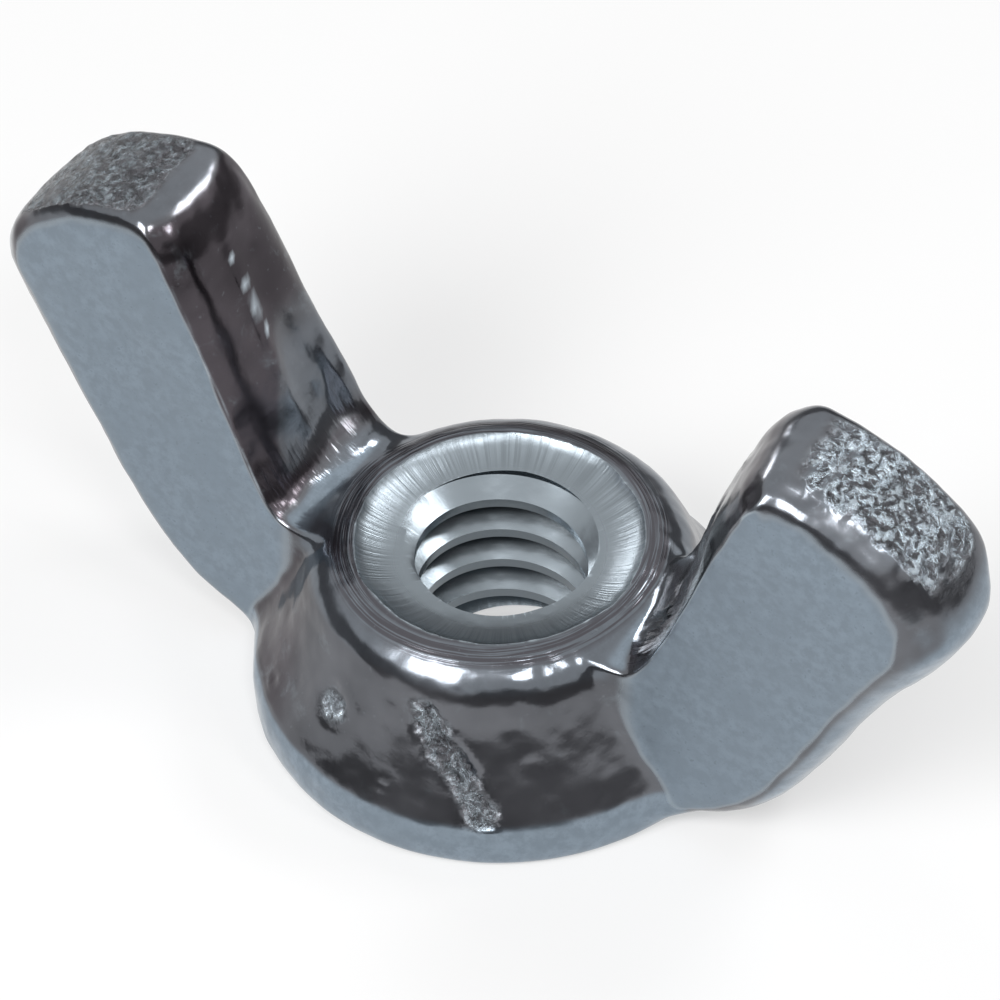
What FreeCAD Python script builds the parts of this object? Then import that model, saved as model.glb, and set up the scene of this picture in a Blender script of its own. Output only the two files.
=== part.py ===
import FreeCAD, Part
import math
import os
import Sketcher

NODE = "wing_nut"
BORE_ARCS = 8
CORE_SHARE = 0.5
CAP_REACH = 0.93
THREAD_OVERCUT = 1.3
THREAD_FLANK = math.tan(math.radians(30))

# alias, value in millimetres, what it measures
SIZES = [
    ("wing_spread", 32.2, "between the wings' outer corners before rounding"),
    ("wing_height", 15.2, "base face to the top of the wings' end caps"),
    ("base_radius", 7.35, "outer radius of the rim band"),
    ("rim_height", 1.48, "height of the upright rim band"),
    ("rim_round", 0.25, "round under the rim band"),
    ("hub_height", 5.9, "base face to the top of the hub"),
    ("cone_draw", 1.95, "how far the cone draws in from the rim to the hub top"),
    ("shoulder_round", 1.15, "round between the cone and the hub top"),
    ("major_radius", 3.175, "root radius of the internal thread"),
    ("thread_depth", 0.655, "radial depth of the thread"),
    ("thread_pitch", 1.27, "rise of the thread in one turn"),
    ("root_flat", 0.16, "flat at the bottom of the thread groove"),
    ("mouth_margin", 1.075, "countersink radius beyond the thread's root radius"),
    ("mouth_depth", 0.35, "depth of the countersink where it meets the bore"),
    ("lead_in", 0.3, "chamfer of the bore at the base face"),
    ("root_thickness", 4.9, "wing thickness carried down to the base face"),
    ("cap_thickness", 4.35, "wing thickness at the top"),
    ("cap_run", 6.55, "inner top corner to outer top corner along X"),
    ("cap_radius", 5.6, "radius of the end cap"),
    ("heel_reach", 3.25, "heel corner beyond the rim band along X"),
    ("heel_height", 1.5, "height of the heel corner, where the outer edge turns in"),
    ("heel_radius", 4.6, "radius of the turn at the heel"),
    ("toe_height", 0.45, "height at which the heel meets the rim band"),
    ("saddle_reach", 0.3, "saddle corner beyond the hub's top corner along X"),
    ("saddle_sink", 0.1, "saddle corner below the hub top"),
    ("saddle_radius", 2.2, "radius of the turn from the hub top up into a wing"),
    ("edge_round", 0.5, "round on the inner edges of a wing"),
    ("outer_round", 1.2, "round on a wing's outer edges and end cap"),
]
VALUE = {alias: value for alias, value, note in SIZES}
CORE = {"base_radius": CORE_SHARE}
HUB_CORNER = {"base_radius": 1, "cone_draw": -1}
BORE = {"major_radius": 1, "thread_depth": -1}
ZERO = {}


def plus(*parts):
    """One sum of sizes out of several: a map from alias to factor."""
    result = {}
    for part in parts:
        for alias, factor in part.items():
            result[alias] = result.get(alias, 0) + factor
    return result


def amount(terms):
    return sum(factor * VALUE[alias] for alias, factor in terms.items())


def formula(terms):
    return " + ".join(f"{factor} * Sizes.{alias}" for alias, factor in terms.items())


def make_sheet(doc):
    sheet = doc.addObject("Spreadsheet::Sheet", "Sizes")
    for row, (alias, value, note) in enumerate(SIZES, start=1):
        sheet.set(f"A{row}", alias)
        sheet.set(f"B{row}", str(value))
        sheet.set(f"C{row}", note)
        sheet.setAlias(f"B{row}", alias)
    doc.recompute()


def add_body(doc, name):
    body = doc.addObject("PartDesign::Body", name)
    body.Label = name
    return body


def add_sketch(body, name, role):
    plane = next(f for f in body.Origin.OriginFeatures if f.Role == role)
    sketch = body.newObject("Sketcher::SketchObject", name)
    sketch.AttachmentSupport = (plane, "")
    sketch.MapMode = "FlatFace"
    return sketch


def bind(sketch, kind, where, terms, name):
    index = sketch.addConstraint(Sketcher.Constraint(kind, *where, amount(terms)))
    sketch.renameConstraint(index, name)
    if terms:
        sketch.setExpression(f"Constraints.{name}", formula(terms))


def pin(sketch, geometry, end, corner):
    if corner.across:
        where = (-1, 1, geometry, end)
        bind(sketch, "DistanceX", where, corner.across, corner.name + "_across")
    else:
        sketch.addConstraint(Sketcher.Constraint("PointOnObject", geometry, end, -2))
    if corner.free:
        return
    if corner.up:
        where = (-1, 1, geometry, end)
        bind(sketch, "DistanceY", where, corner.up, corner.name + "_up")
    else:
        sketch.addConstraint(Sketcher.Constraint("PointOnObject", geometry, end, -1))


def arc_through(start, finish, radius, side):
    """The shorter arc from start to finish; side 1 bulges to the right of the way there."""
    chord = finish - start
    half = chord.Length / 2
    right = FreeCAD.Vector(chord.y, -chord.x, 0).normalize()
    bulge = radius - math.sqrt(radius**2 - half**2)
    middle = (start + finish) / 2 + right * bulge * side
    return Part.Arc(start, middle, finish)


def end_near(sketch, index, point):
    first = sketch.getPoint(index, 1).distanceToPoint(point)
    last = sketch.getPoint(index, 2).distanceToPoint(point)
    return 1 if first < last else 2


class Corner:
    """One corner of an outline and the edge that leaves it. bend is None for a line, or
    an arc's radius and the side it bulges to. A corner whose height is free has only a
    starting height, and the arc beside it sets the real one."""

    def __init__(self, name, across, up, bend=None, free=False):
        self.name = name
        self.across = across
        self.up = up
        self.bend = bend
        self.free = free

    def point(self):
        return FreeCAD.Vector(amount(self.across), amount(self.up), 0)


def draw(sketch, corners):
    """Draws a closed outline of lines and arcs, and pins each corner to its sizes."""
    following = corners[1:] + corners[:1]
    for corner, after in zip(corners, following):
        if corner.bend is None:
            edge = Part.LineSegment(corner.point(), after.point())
        else:
            radius, side = corner.bend
            edge = arc_through(corner.point(), after.point(), amount(radius), side)
        sketch.addGeometry(edge, False)
    for i, corner in enumerate(corners):
        before = (i - 1) % len(corners)
        leaving = end_near(sketch, i, corner.point())
        arriving = end_near(sketch, before, corner.point())
        joint = Sketcher.Constraint("Coincident", before, arriving, i, leaving)
        sketch.addConstraint(joint)
        pin(sketch, i, leaving, corner)
        if corner.bend is not None:
            bind(sketch, "Radius", (i,), corner.bend[0], corner.name + "_radius")


def edges_of(shape, wanted):
    found = [f"Edge{i}" for i, e in enumerate(shape.Edges, start=1) if wanted(e)]
    if not found:
        raise ValueError("no edge to round")
    return found


def add_round(body, name, before, edges, alias):
    fillet = body.newObject("PartDesign::Fillet", name)
    fillet.Base = (before, edges)
    fillet.setExpression("Radius", f"Sizes.{alias}")
    fillet.Refine = False
    return fillet


def wing_corners():
    outer = {"wing_spread": 0.5}
    toe_up = {"toe_height": 1}
    heel_across = {"base_radius": 1, "heel_reach": 1}
    rise = math.sqrt(1 - CAP_REACH**2)
    outer_up = {"wing_height": 1, "cap_radius": rise - 1}
    flat_up = {"hub_height": 1, "saddle_sink": -1}
    cap = ({"cap_radius": 1}, 1)
    return [
        Corner("core_foot", CORE, toe_up),
        Corner("toe", {"base_radius": 1}, toe_up),
        Corner("heel", heel_across, {"heel_height": 1}),
        Corner("outer_tip", outer, outer_up, cap, free=True),
        Corner("inner_tip", plus(outer, {"cap_run": -1}), {"wing_height": 1}, free=True),
        Corner("saddle", plus(HUB_CORNER, {"saddle_reach": 1}), flat_up),
        Corner("core_top", CORE, flat_up),
    ]


def make_wing(doc):
    """One wing, standing on the +X side."""
    body = add_body(doc, "wing_blank")
    profile = add_sketch(body, "wing_profile", "XZ_Plane")
    corners = wing_corners()
    draw(profile, corners)
    cap = [corner.name for corner in corners].index("outer_tip")
    across = {"wing_spread": 0.5, "cap_radius": -CAP_REACH}
    centre = Corner("cap_centre", across, {"wing_height": 1, "cap_radius": -1})
    pin(profile, cap, 3, centre)
    plate = body.newObject("PartDesign::Pad", "wing_plate")
    plate.Profile = profile
    plate.SideType = "Symmetric"
    plate.Refine = False
    plate.setExpression("Length", "Sizes.root_thickness")
    taper = add_sketch(body, "taper_profile", "YZ_Plane")
    draw_taper(taper)
    trim = body.newObject("PartDesign::Pocket", "wing_taper")
    trim.Profile = taper
    trim.SideType = "Symmetric"
    trim.Refine = False
    trim.setExpression("Length", "2 * Sizes.wing_spread")
    doc.recompute()
    round_wing(doc, body, trim)
    return body


def round_wing(doc, body, plate):
    """The turns at heel and saddle, then the long edges, each chain in one go."""
    places = {corner.name: corner.point() for corner in wing_corners()}
    step = plate
    for name in ("heel", "saddle"):
        turn = edges_of(step.Shape, lambda edge: crosses_at(edge, places[name]))
        step = add_round(body, name + "_turn", step, turn, name + "_radius")
        doc.recompute()
    far = edges_of(step.Shape, is_outer)
    step = add_round(body, "outer_edges", step, far, "outer_round")
    doc.recompute()
    near = edges_of(step.Shape, is_inner)
    add_round(body, "inner_edges", step, near, "edge_round")
    doc.recompute()


def crosses_at(edge, place):
    """Whether an edge runs across the wing's thickness at a corner of its outline."""
    centre = edge.CenterOfMass
    return math.hypot(centre.x - place.x, centre.z - place.y) < Part.Precision.confusion()


def from_inner_edge(point):
    """How far a point lies beyond the line of the wing's inner edge, along X."""
    foot_across = amount(plus(HUB_CORNER, {"saddle_reach": 1}))
    foot_up = VALUE["hub_height"]
    tip_across = VALUE["wing_spread"] / 2 - VALUE["cap_run"]
    lean = (tip_across - foot_across) / (VALUE["wing_height"] - foot_up)
    return point.x - foot_across - (point.z - foot_up) * lean


def is_outer(edge):
    """The edges of the outer side and the cap, with the corner between them."""
    across = edge.BoundBox.YLength > VALUE["cap_thickness"] / 2
    low = edge.BoundBox.ZMax < VALUE["hub_height"]
    beyond = from_inner_edge(edge.CenterOfMass) > VALUE["cap_thickness"] / 2
    return beyond and not (across and low) and not is_seam(edge)


def is_inner(edge):
    near = abs(from_inner_edge(edge.CenterOfMass)) < VALUE["outer_round"] / 2
    return near and edge.CenterOfMass.z > VALUE["hub_height"] and not is_seam(edge)


def is_seam(edge):
    """Whether an edge is where a turn runs on smoothly into a flat."""
    box = edge.BoundBox
    straight = box.XLength + box.ZLength < Part.Precision.confusion() * 10
    return straight and box.ZMax < VALUE["wing_height"] - VALUE["cap_radius"]


def draw_taper(sketch):
    """Two slivers, one on each side, that thin the plate towards its top."""
    top = {"wing_height": 1}
    full = {"root_thickness": 0.5}
    thin = {"cap_thickness": 0.5}
    for sign in (1, -1):
        side = FreeCAD.Vector(amount(full) * sign, 0, 0)
        inner = FreeCAD.Vector(amount(thin) * sign, amount(top), 0)
        outer = FreeCAD.Vector(amount(full) * sign, amount(top), 0)
        first = sketch.GeometryCount
        for start, finish in ((side, inner), (inner, outer), (outer, side)):
            sketch.addGeometry(Part.LineSegment(start, finish), False)
        for step in range(3):
            ends = (first + step, 2, first + (step + 1) % 3, 1)
            sketch.addConstraint(Sketcher.Constraint("Coincident", *ends))
        sketch.addConstraint(Sketcher.Constraint("PointOnObject", first, 1, -1))
        sketch.addConstraint(Sketcher.Constraint("Horizontal", first + 1))
        sketch.addConstraint(Sketcher.Constraint("Vertical", first + 2))
        word = "right" if sign > 0 else "left"
        origin_first = (-1, 1, first, 1) if sign > 0 else (first, 1, -1, 1)
        bind(sketch, "DistanceX", origin_first, full, word + "_root")
        origin_first = (-1, 1, first, 2) if sign > 0 else (first, 2, -1, 1)
        bind(sketch, "DistanceX", origin_first, thin, word + "_cap")
        bind(sketch, "DistanceY", (-1, 1, first, 2), top, word + "_top")


def make_hub(doc):
    """The turned form of the hub, still solid."""
    body = add_body(doc, "hub_blank")
    profile = add_sketch(body, "hub_profile", "XZ_Plane")
    top = {"hub_height": 1}
    draw(profile, [
        Corner("axis_foot", ZERO, ZERO),
        Corner("rim_foot", {"base_radius": 1}, ZERO),
        Corner("rim_top", {"base_radius": 1}, {"rim_height": 1}),
        Corner("hub_corner", HUB_CORNER, top),
        Corner("axis_top", ZERO, top),
    ])
    turned = body.newObject("PartDesign::Revolution", "hub_turned")
    turned.Profile = profile
    turned.ReferenceAxis = (profile, ["V_Axis"])
    turned.Angle = 360
    turned.Refine = False
    doc.recompute()
    shoulder = edges_of(turned.Shape, lambda edge: circle_at(edge, VALUE["hub_height"]))
    rounded = add_round(body, "hub_shoulder", turned, shoulder, "shoulder_round")
    doc.recompute()
    foot = edges_of(rounded.Shape, lambda edge: circle_at(edge, 0))
    add_round(body, "hub_foot", rounded, foot, "rim_round")
    doc.recompute()
    return body


def circle_at(edge, height):
    round_edge = isinstance(edge.Curve, Part.Circle)
    return round_edge and abs(edge.CenterOfMass.z - height) < Part.Precision.confusion()


def make_forging(doc, wing, hub):
    """The hub with a wing on each side, rounded where they meet."""
    mirrored = doc.addObject("Part::Mirroring", "wing_mirrored")
    mirrored.Source = wing
    mirrored.Normal = (1, 0, 0)
    mirrored.Base = (0, 0, 0)
    forging = doc.addObject("Part::MultiFuse", "forging")
    forging.Shapes = [hub, wing, mirrored]
    forging.Refine = False
    doc.recompute()
    return forging


def bore_circle(sketch):
    """The bore drawn as equal arcs, so that each crest of the thread is several faces."""
    origin = FreeCAD.Vector(0, 0, 0)
    circle = Part.Circle(origin, FreeCAD.Vector(0, 0, 1), amount(BORE))
    sweep = 2 * math.pi / BORE_ARCS
    for i in range(BORE_ARCS):
        sketch.addGeometry(Part.ArcOfCircle(circle, i * sweep, (i + 1) * sweep), False)
    for i in range(BORE_ARCS):
        sketch.addConstraint(Sketcher.Constraint("Coincident", i, 3, -1, 1))
    for i in range(1, BORE_ARCS):
        sketch.addConstraint(Sketcher.Constraint("Coincident", i - 1, 2, i, 1))
        sketch.addConstraint(Sketcher.Constraint("Angle", i, sweep))
    sketch.addConstraint(Sketcher.Constraint("PointOnObject", 0, 1, -1))
    sketch.addConstraint(Sketcher.Constraint("PointOnObject", BORE_ARCS - 1, 2, -1))
    bind(sketch, "Radius", (0,), BORE, "bore_radius")


def add_groove(body, name, corners):
    profile = add_sketch(body, name + "_profile", "XZ_Plane")
    draw(profile, corners)
    groove = body.newObject("PartDesign::Groove", name)
    groove.Profile = profile
    groove.ReferenceAxis = (profile, ["V_Axis"])
    groove.Angle = 360
    groove.Refine = False
    return groove


def cut_checked(doc, body, before):
    doc.recompute()
    after = body.Shape.Volume
    if not after < before:
        raise ValueError("a cut took nothing away")
    return after


def make_nut(doc, forging):
    body = add_body(doc, NODE)
    body.BaseFeature = forging
    doc.recompute()
    volume = body.Shape.Volume
    circle = add_sketch(body, "bore_profile", "XY_Plane")
    bore_circle(circle)
    bore = body.newObject("PartDesign::Pocket", "bore")
    bore.Profile = circle
    bore.Type = "ThroughAll"
    bore.Reversed = True
    bore.Refine = False
    volume = cut_checked(doc, body, volume)
    top = {"hub_height": 1}
    mouth = {"major_radius": 1, "mouth_margin": 1}
    add_groove(body, "countersink", [
        Corner("mouth_axis", ZERO, plus(top, {"mouth_depth": -1})),
        Corner("mouth_bore", BORE, plus(top, {"mouth_depth": -1})),
        Corner("mouth_edge", mouth, top),
        Corner("mouth_top", ZERO, top),
    ])
    volume = cut_checked(doc, body, volume)
    add_groove(body, "lead_in_chamfer", [
        Corner("lead_axis", ZERO, ZERO),
        Corner("lead_edge", plus(BORE, {"lead_in": 1}), ZERO),
        Corner("lead_top", BORE, {"lead_in": 1}),
        Corner("lead_inner", ZERO, {"lead_in": 1}),
    ])
    volume = cut_checked(doc, body, volume)
    add_thread(body)
    cut_checked(doc, body, volume)
    return body


def add_thread(body):
    """A 60 degree groove wound right-handed up the bore and out past both ends."""
    sketch = add_sketch(body, "thread_profile", "XZ_Plane")
    root = {"major_radius": 1}
    inner = {"major_radius": 1, "thread_depth": -THREAD_OVERCUT}
    middle = {"thread_pitch": 1}
    flare = THREAD_FLANK * THREAD_OVERCUT
    draw(sketch, [
        Corner("root_low", root, plus(middle, {"root_flat": -0.5})),
        Corner("root_high", root, plus(middle, {"root_flat": 0.5})),
        Corner("crest_high", inner, plus(middle, {"root_flat": 0.5, "thread_depth": flare})),
        Corner("crest_low", inner, plus(middle, {"root_flat": -0.5, "thread_depth": -flare})),
    ])
    sketch.setExpression("AttachmentOffset.Base.y", "-2 * Sizes.thread_pitch")
    helix = body.newObject("PartDesign::SubtractiveHelix", "thread")
    helix.Profile = sketch
    helix.ReferenceAxis = (sketch, ["V_Axis"])
    helix.Mode = "pitch-height-angle"
    helix.Refine = False
    helix.setExpression("Pitch", "Sizes.thread_pitch")
    helix.setExpression("Height", "Sizes.hub_height + 2 * Sizes.thread_pitch")


def check(doc):
    for item in doc.Objects:
        if "Invalid" in item.State or "Error" in item.State:
            raise ValueError(f"{item.Label} did not build")
        shape = getattr(item, "Shape", None)
        if shape is not None and (shape.isNull() or not shape.isValid()):
            raise ValueError(f"{item.Label} has a bad shape")


def main():
    doc = FreeCAD.newDocument("WingNut")
    make_sheet(doc)
    wing = make_wing(doc)
    hub = make_hub(doc)
    forging = make_forging(doc, wing, hub)
    nut = make_nut(doc, forging)
    doc.recompute()
    check(doc)
    os.makedirs("parts", exist_ok=True)
    nut.Shape.exportStep(f"parts/{NODE}.step")


main()
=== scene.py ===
import math

import bmesh
import bpy
from bpy.props import FloatProperty, FloatVectorProperty, PointerProperty
from mathutils import Matrix, Vector, noise


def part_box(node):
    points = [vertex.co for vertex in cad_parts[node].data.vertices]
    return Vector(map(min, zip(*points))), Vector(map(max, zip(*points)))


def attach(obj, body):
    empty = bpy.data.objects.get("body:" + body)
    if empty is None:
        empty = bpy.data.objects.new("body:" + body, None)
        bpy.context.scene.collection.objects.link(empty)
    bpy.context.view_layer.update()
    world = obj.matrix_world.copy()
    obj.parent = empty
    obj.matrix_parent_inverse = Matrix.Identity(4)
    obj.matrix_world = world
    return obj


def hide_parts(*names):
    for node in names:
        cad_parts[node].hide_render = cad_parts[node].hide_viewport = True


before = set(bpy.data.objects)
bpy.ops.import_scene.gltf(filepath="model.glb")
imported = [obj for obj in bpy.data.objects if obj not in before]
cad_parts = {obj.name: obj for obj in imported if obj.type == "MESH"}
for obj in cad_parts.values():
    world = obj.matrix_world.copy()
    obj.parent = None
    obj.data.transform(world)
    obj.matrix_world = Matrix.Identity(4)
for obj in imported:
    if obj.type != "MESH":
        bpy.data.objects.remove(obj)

bl_info = {
    "name": "Forged Wing Nut",
    "version": (1, 0, 0),
    "blender": (4, 5, 0),
    "location": "View3D > Sidebar > Wing Nut",
    "description": "Builds a zinc-plated forged wing nut on its CAD frame",
    "category": "Add Mesh",
}

CAD_NODE = "wing_nut"
CAD_LOW, CAD_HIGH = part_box(CAD_NODE)
CAD_SPREAD = CAD_HIGH[0] - CAD_LOW[0]
CAD_HEIGHT = CAD_HIGH[2] - CAD_LOW[2]
CAD_RIM_RADIUS = CAD_HIGH[1]
MM = 0.001
AXIS = (0.0, 0.0, 1.0)


class WingNutSizes(bpy.types.PropertyGroup):
    """The nut's driving sizes"""

    spread: FloatProperty(
        name="Wing spread",
        description="Width over both wing tips",
        default=CAD_SPREAD,
        min=0.02,
        unit="LENGTH",
    )
    height: FloatProperty(
        name="Wing height",
        description="Height from the seating face to the top of the wings",
        default=CAD_HEIGHT,
        min=0.01,
        unit="LENGTH",
    )
    rim_radius: FloatProperty(
        name="Rim radius",
        description="Radius of the hub's rim at the seating face",
        default=CAD_RIM_RADIUS,
        min=0.005,
        unit="LENGTH",
    )
    thread_major: FloatProperty(
        name="Thread major radius",
        description="Radius at the root of the internal thread",
        default=0.003175,
        min=0.001,
        unit="LENGTH",
    )
    thread_minor: FloatProperty(
        name="Thread minor radius",
        description="Radius at the crest of the internal thread",
        default=0.00252,
        min=0.001,
        unit="LENGTH",
    )
    thread_pitch: FloatProperty(
        name="Thread pitch",
        description="Advance of the thread in one turn",
        default=0.00127,
        min=0.0004,
        unit="LENGTH",
    )


# The colours are written darker than clean zinc: partly the plate's own tone, partly painted
# reflection of the dark surroundings the metal mirrors.
class WingNutFinish(bpy.types.PropertyGroup):
    """The plating's colours"""

    satin: FloatVectorProperty(
        name="Satin plate",
        description="Colour of the flat, finely grained wing faces",
        subtype="COLOR",
        size=3,
        default=(0.235, 0.285, 0.335),
        min=0.0,
        max=1.0,
    )
    bright: FloatVectorProperty(
        name="Bright plate",
        description="Colour of the smooth forged surfaces",
        subtype="COLOR",
        size=3,
        default=(0.13, 0.133, 0.145),
        min=0.0,
        max=1.0,
    )
    machined: FloatVectorProperty(
        name="Cut plate",
        description="Colour of the thread and the countersink",
        subtype="COLOR",
        size=3,
        default=(0.31, 0.355, 0.39),
        min=0.0,
        max=1.0,
    )


class WingNutStage(bpy.types.PropertyGroup):
    """The studio round the nut"""

    backdrop: FloatVectorProperty(
        name="Backdrop",
        description="Colour of the floor and the background",
        subtype="COLOR",
        size=3,
        default=(1.0, 1.0, 1.0),
        min=0.0,
        max=1.0,
    )


# The hub's half section, radius and height in millimetres, from under the rim to the top.
HUB_SECTION = [
    (1.2, 0.0),
    (4.6, 0.0),
    (6.95, 0.0),
    (7.38, 0.04),
    (7.5, 0.32),
    (7.52, 0.85),
    (7.47, 1.38),
    (7.24, 1.78),
    (6.76, 2.55),
    (6.14, 3.85),
    (5.82, 4.7),
    (5.62, 5.22),
    (5.26, 5.68),
    (4.78, 5.98),
    (4.2, 6.12),
    (1.2, 6.12),
]
RIM_ROW = 4
CROWN_ROW = 13
HUB_STEPS = 32
WING_HALF_STEPS = 2
ROOT_HALF = 2.66

# One wing, section by section from the hub to the cap: the outer and the inner edge, each
# along X and up, half the thickness, how far the inner edge leans to the axis at the back,
# and how far the outer edge is crowned.
LEFT_SECTIONS = [
    ((8.1, 0.4), (5.3, 5.95), 2.5, 0.7, 0.0),
    ((9.25, 0.8), (5.9, 6.0), 2.45, 1.0, 0.0),
    ((10.5, 1.6), (6.42, 6.5), 2.38, 1.1, 0.05),
    ((11.65, 3.1), (6.92, 7.75), 2.32, 0.95, 0.1),
    ((12.88, 5.4), (7.64, 9.9), 2.28, 0.55, 0.15),
    ((14.05, 7.8), (8.45, 12.2), 2.26, 0.3, 0.3),
    ((15.15, 10.0), (9.1, 14.0), 2.26, 0.1, 0.6),
    ((15.65, 11.15), (9.42, 14.6), 2.26, 0.0, 0.65),
    ((15.75, 11.85), (9.95, 15.2), 2.04, 0.0, 0.45),
]
RIGHT_SECTIONS = [
    ((8.1, 0.45), (5.3, 5.95), 2.52, 0.9, 0.0),
    ((9.2, 0.92), (5.8, 6.08), 2.45, 1.2, 0.0),
    ((10.3, 1.85), (6.2, 6.75), 2.34, 1.1, 0.0),
    ((11.35, 3.3), (6.75, 8.0), 2.3, 1.15, 0.0),
    ((12.5, 5.5), (7.55, 9.95), 2.28, 1.1, 0.05),
    ((13.65, 7.7), (8.45, 12.2), 2.26, 1.0, 0.15),
    ((15.05, 9.95), (9.3, 14.1), 2.26, 0.85, 0.65),
    ((15.65, 11.1), (9.6, 14.65), 2.26, 0.75, 0.75),
    ((15.75, 11.8), (10.1, 15.2), 2.04, 0.65, 0.5),
]
SPREAD = [0.0, 0.13, 0.24, 0.36, 0.48, 0.6, 0.72, 0.84, 0.93, 1.0]
ACROSS = [-1.0, -0.62, 0.0, 0.62, 1.0]
CORNER_OUTER = 0.42
CORNER_INNER = 0.4
CORNER_THIN = 0.9
CAP_BULGE = 1.15
# How deep the inner edge is scooped between its corners, section by section from the hub.
HOLLOWS = [0.0, 0.12, 0.35, 0.42, 0.2]
SMOOTH_LEVELS = 3
SHARP_ANGLE = 40


def lerp(a, b, t):
    return a + (b - a) * t


def smoothstep(low, high, value):
    t = min(max((value - low) / (high - low), 0.0), 1.0)
    return t * t * (3 - 2 * t)


def finish_piece(name, bm):
    """Makes an object of a mesh whose place is in its vertices."""
    mesh = bpy.data.meshes.new(name)
    bm.to_mesh(mesh)
    bm.free()
    piece = bpy.data.objects.new(name, mesh)
    bpy.context.scene.collection.objects.link(piece)
    return piece


def settle(piece):
    """Applies a piece's modifiers."""
    graph = bpy.context.evaluated_depsgraph_get()
    mesh = bpy.data.meshes.new_from_object(piece.evaluated_get(graph))
    piece.modifiers.clear()
    old = piece.data
    piece.data = mesh
    bpy.data.meshes.remove(old)


def spun(points, steps, closed):
    """A ring turned about Z from a half section of (radius, height) points."""
    bm = bmesh.new()
    verts = [bm.verts.new((r * MM, 0.0, z * MM)) for r, z in points]
    pairs = list(zip(verts, verts[1:]))
    if closed:
        pairs.append((verts[-1], verts[0]))
    edges = [bm.edges.new(pair) for pair in pairs]
    bmesh.ops.spin(
        bm, geom=verts + edges, cent=(0, 0, 0), axis=AXIS, dvec=(0, 0, 0),
        angle=math.tau, steps=steps, use_merge=True, use_duplicate=False,
    )
    bmesh.ops.recalc_face_normals(bm, faces=bm.faces)
    return bm


def azimuth(co):
    return math.atan2(co.y, co.x)


def wing_patch(bm, side):
    """The hub's faces that a wing grows out of."""
    limit = WING_HALF_STEPS * math.tau / HUB_STEPS
    low = HUB_SECTION[RIM_ROW][1] * MM
    high = HUB_SECTION[CROWN_ROW][1] * MM
    inner = HUB_SECTION[CROWN_ROW][0] * MM
    found = []
    for face in bm.faces:
        co = face.calc_center_median()
        turn = azimuth(Vector((co.x * side, co.y, 0)))
        radius = math.hypot(co.x, co.y)
        if abs(turn) < limit and low < co.z < high and radius > inner:
            found.append(face)
    return found


def section_row(co):
    """Which row of the hub's section a vertex stands on, counted from the rim."""
    radius = math.hypot(co.x, co.y) / MM
    height = co.z / MM
    rows = HUB_SECTION[RIM_ROW:CROWN_ROW + 1]
    gaps = [math.hypot(radius - r, height - z) for r, z in rows]
    return gaps.index(min(gaps))


def wing_place(side, section, row, column, bulge, hollow):
    """Where one point of a wing's section goes."""
    outer, inner, half, lean, crown = section
    t = SPREAD[row]
    c = ACROSS[column]
    width = math.hypot(inner[0] - outer[0], inner[1] - outer[1])
    along = Vector((inner[0] - outer[0], 0, inner[1] - outer[1])) / width
    ahead = Vector((along.z, 0, -along.x))
    depth = t * width
    y = half * c
    at_outer, at_inner = row == 0, row == len(SPREAD) - 1
    if abs(c) == 1 and at_outer:
        depth += CORNER_OUTER
        y *= CORNER_THIN
    if abs(c) == 1 and at_inner:
        depth -= CORNER_INNER
        y *= CORNER_THIN
    depth -= crown * (1 - t) ** 6 * (1 - c * c)
    depth -= hollow * t ** 8 * (1 - c * c)
    swell = bulge * (1.08 - 0.12 * c * c)
    place = Vector((outer[0], 0, outer[1])) + along * depth + ahead * swell
    place.x -= lean * t ** 4 * (c + 1) / 2
    return Vector((side * place.x, y, place.z)) * MM


def grow_wing(bm, side, sections):
    rows = bm.verts.layers.int["row"]
    columns = bm.verts.layers.int["column"]
    patch = wing_patch(bm, side)
    verts = {v for face in patch for v in face.verts}
    step = math.tau / HUB_STEPS
    for v in verts:
        turn = azimuth(Vector((v.co.x * side, v.co.y, 0)))
        v[columns] = round(turn / step) + WING_HALF_STEPS
        v[rows] = section_row(v.co)
    place_root(verts, columns, side)
    last = len(sections) - 1
    for index, section in enumerate(sections):
        grown = bmesh.ops.extrude_face_region(bm, geom=patch)
        bmesh.ops.delete(bm, geom=patch, context="FACES")
        patch = [g for g in grown["geom"] if isinstance(g, bmesh.types.BMFace)]
        for v in {v for face in patch for v in face.verts}:
            t = SPREAD[v[rows]]
            bulge = CAP_BULGE * (4 * t * (1 - t)) ** 0.8 if index == last else 0.0
            hollow = HOLLOWS[index] if index < len(HOLLOWS) else 0.0
            v.co = wing_place(side, section, v[rows], v[columns], bulge, hollow)


def place_root(verts, columns, side):
    """Sets the patch's outer columns to the wing's thickness, on the hub's own surface."""
    for v in verts:
        c = ACROSS[v[columns]]
        radius = math.hypot(v.co.x, v.co.y)
        y = min(ROOT_HALF * MM, radius * 0.5) * c
        v.co.y = y
        v.co.x = side * math.sqrt(radius ** 2 - y ** 2)


def stretch(bm, sizes):
    """Fits the forging to sizes other than the usual ones."""
    rim = sizes.rim_radius / CAD_RIM_RADIUS
    reach = (sizes.spread / 2 - sizes.rim_radius) / (CAD_SPREAD / 2 - CAD_RIM_RADIUS)
    crown = HUB_SECTION[-1][1] * MM
    rise = (sizes.height - crown) / (CAD_HEIGHT - crown)
    for v in bm.verts:
        beyond = abs(v.co.x) - CAD_RIM_RADIUS
        if beyond > 0:
            v.co.x = math.copysign(sizes.rim_radius + beyond * reach, v.co.x)
        else:
            v.co.x *= rim
            v.co.y *= rim
        if v.co.z > crown:
            v.co.z = crown + (v.co.z - crown) * rise


def forging_cage(sizes):
    bm = spun(HUB_SECTION, HUB_STEPS, closed=True)
    bm.verts.layers.int.new("row")
    bm.verts.layers.int.new("column")
    grow_wing(bm, 1, RIGHT_SECTIONS)
    grow_wing(bm, -1, LEFT_SECTIONS)
    stretch(bm, sizes)
    bmesh.ops.recalc_face_normals(bm, faces=bm.faces)
    return bm


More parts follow.
